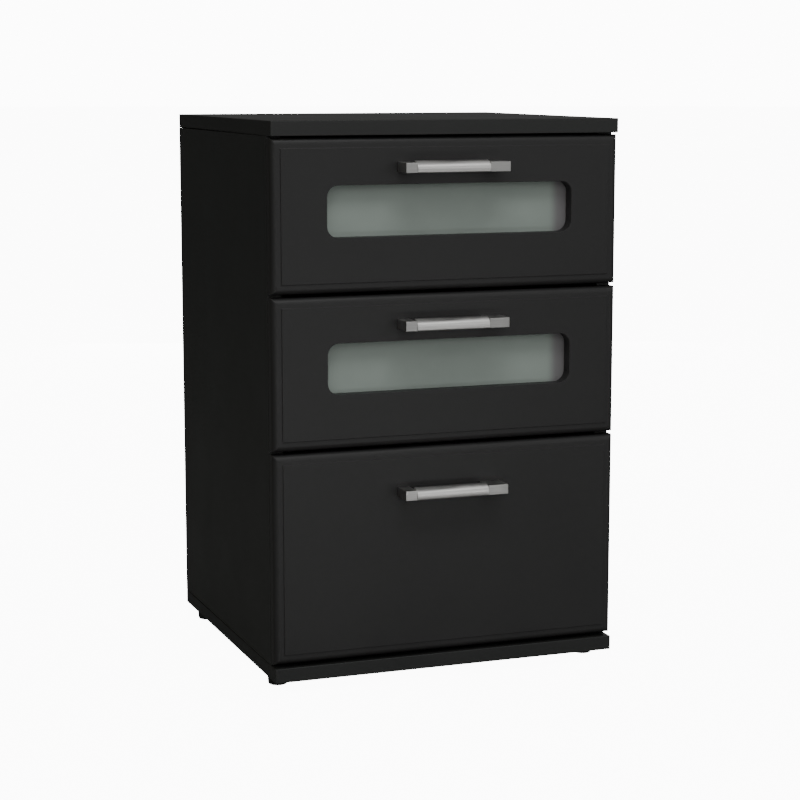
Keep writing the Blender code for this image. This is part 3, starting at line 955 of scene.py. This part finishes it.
# Name, place, target, width and height, watts and colour of each light
lights = (
    ("left softbox", (-1.5, -3.2, 2.0), (0, 0, 0.35), (2.6, 1.5), 19, (1.0, 1.0, 0.985)),
    ("right softbox", (1.2, -3.3, 0.95), (0, 0, 0.25), (3.0, 1.2), 7.5, (1, 1, 1)),
    ("side card", (-2.6, 0.2, 2.3), (-0.2, 0, 0.6), (1.5, 1.2), 11, (1.0, 0.98, 0.78)),
    ("right card", (2.6, 0.6, 1.9), (0.2, 0, 0.35), (1.5, 1.2), 7, (1, 1, 1)),
    ("upper softbox", (-0.2, -1.7, 2.9), (0, -0.1, 0.3), (1.6, 0.9), 26, (1, 1, 1)),
    ("low card", (0.0, -1.4, 0.04), (0, -0.17, 0.1), (1.2, 0.12), 1.7, (1, 1, 1)),
    ("rear softbox", (0.9, 2.6, 0.2), (0.1, 0.2, 0.25), (1.5, 0.7), 7, (1, 1, 1)),
    ("back card", (1.1, 3.0, 1.2), (0, 0, 0.6), (4.0, 2.0), 3.9, (1, 1, 1)),
)

camera_lens = 93.70
camera_sensor = 36
camera_place = (-0.8292, -2.2623, 0.6652)
camera_tilt = 81.067
camera_turn = -20.317


def make_floor():
    """A plain pale floor, round and wide. It is seen brighter than it lights the cabinet."""
    angle = np.arange(floor_sides) * 2 * np.pi / floor_sides
    ring = np.stack([floor_radius * np.cos(angle), floor_radius * np.sin(angle), 0 * angle], 1)
    mesh = bpy.data.meshes.new("floor")
    mesh.from_pydata(ring.tolist(), [], [list(range(floor_sides))])
    floor = bpy.data.objects.new("floor", mesh)
    bpy.context.scene.collection.objects.link(floor)
    material = bpy.data.materials.new("floor")
    material.use_nodes = True
    tree = material.node_tree
    shader = tree.nodes["Principled BSDF"]
    seen = add(tree, "LightPath").outputs["Is Camera Ray"]
    paint = add(tree, "MapRange", Value=seen, To_Min=floor_bounce, To_Max=floor_paint)
    glow = add(tree, "MapRange", Value=seen, To_Min=0.0, To_Max=floor_glow)
    tree.links.new(paint.outputs["Result"], shader.inputs["Base Color"])
    tree.links.new(glow.outputs["Result"], shader.inputs["Emission Strength"])
    shader.inputs["Roughness"].default_value = 0.7
    shader.inputs["Specular IOR Level"].default_value = 0.1
    shader.inputs["Emission Color"].default_value = (1, 1, 1, 1)
    mesh.materials.append(material)


def make_backdrop():
    """Pale all round where it is seen. Its light is strongest from one side and dims towards the other."""
    world = bpy.data.worlds.new("studio")
    bpy.context.scene.world = world
    world.use_nodes = True
    tree = world.node_tree
    background = tree.nodes["Background"]
    background.inputs["Color"].default_value = (1, 1, 1, 1)
    direction = add(tree, "TexCoord").outputs["Generated"]
    facing = add(tree, "VectorMath", {"operation": "DOT_PRODUCT"})
    tree.links.new(direction, facing.inputs[0])
    facing.inputs[1].default_value = bright_side
    light = add(
        tree,
        "MapRange",
        Value=facing.outputs["Value"],
        From_Min=dim_side,
        From_Max=1.0,
        To_Min=0.0,
        To_Max=world_light,
    ).outputs["Result"]
    seen = add(tree, "LightPath").outputs["Is Camera Ray"]
    strength = add(tree, "MapRange", Value=seen, To_Min=light, To_Max=world_glow)
    tree.links.new(strength.outputs["Result"], background.inputs["Strength"])


def softbox(name, place, target, size, power, colour):
    """A rectangular light at a place, turned towards a target. It isn't seen itself."""
    light = bpy.data.lights.new(name, "AREA")
    light.shape = "RECTANGLE"
    light.size, light.size_y = size
    light.energy = power
    light.color = colour
    obj = bpy.data.objects.new(name, light)
    bpy.context.scene.collection.objects.link(obj)
    obj.location = place
    direction = Vector(target) - Vector(place)
    obj.rotation_euler = direction.to_track_quat("-Z", "Y").to_euler()
    obj.visible_camera = False


make_floor()
make_backdrop()
for light in lights:
    softbox(*light)

camera = bpy.data.objects.new("camera", bpy.data.cameras.new("camera"))
bpy.context.scene.collection.objects.link(camera)
camera.data.lens = camera_lens
camera.data.sensor_width = camera_sensor
camera.location = camera_place
camera.rotation_euler = (math.radians(camera_tilt), 0, math.radians(camera_turn))
bpy.context.scene.camera = camera
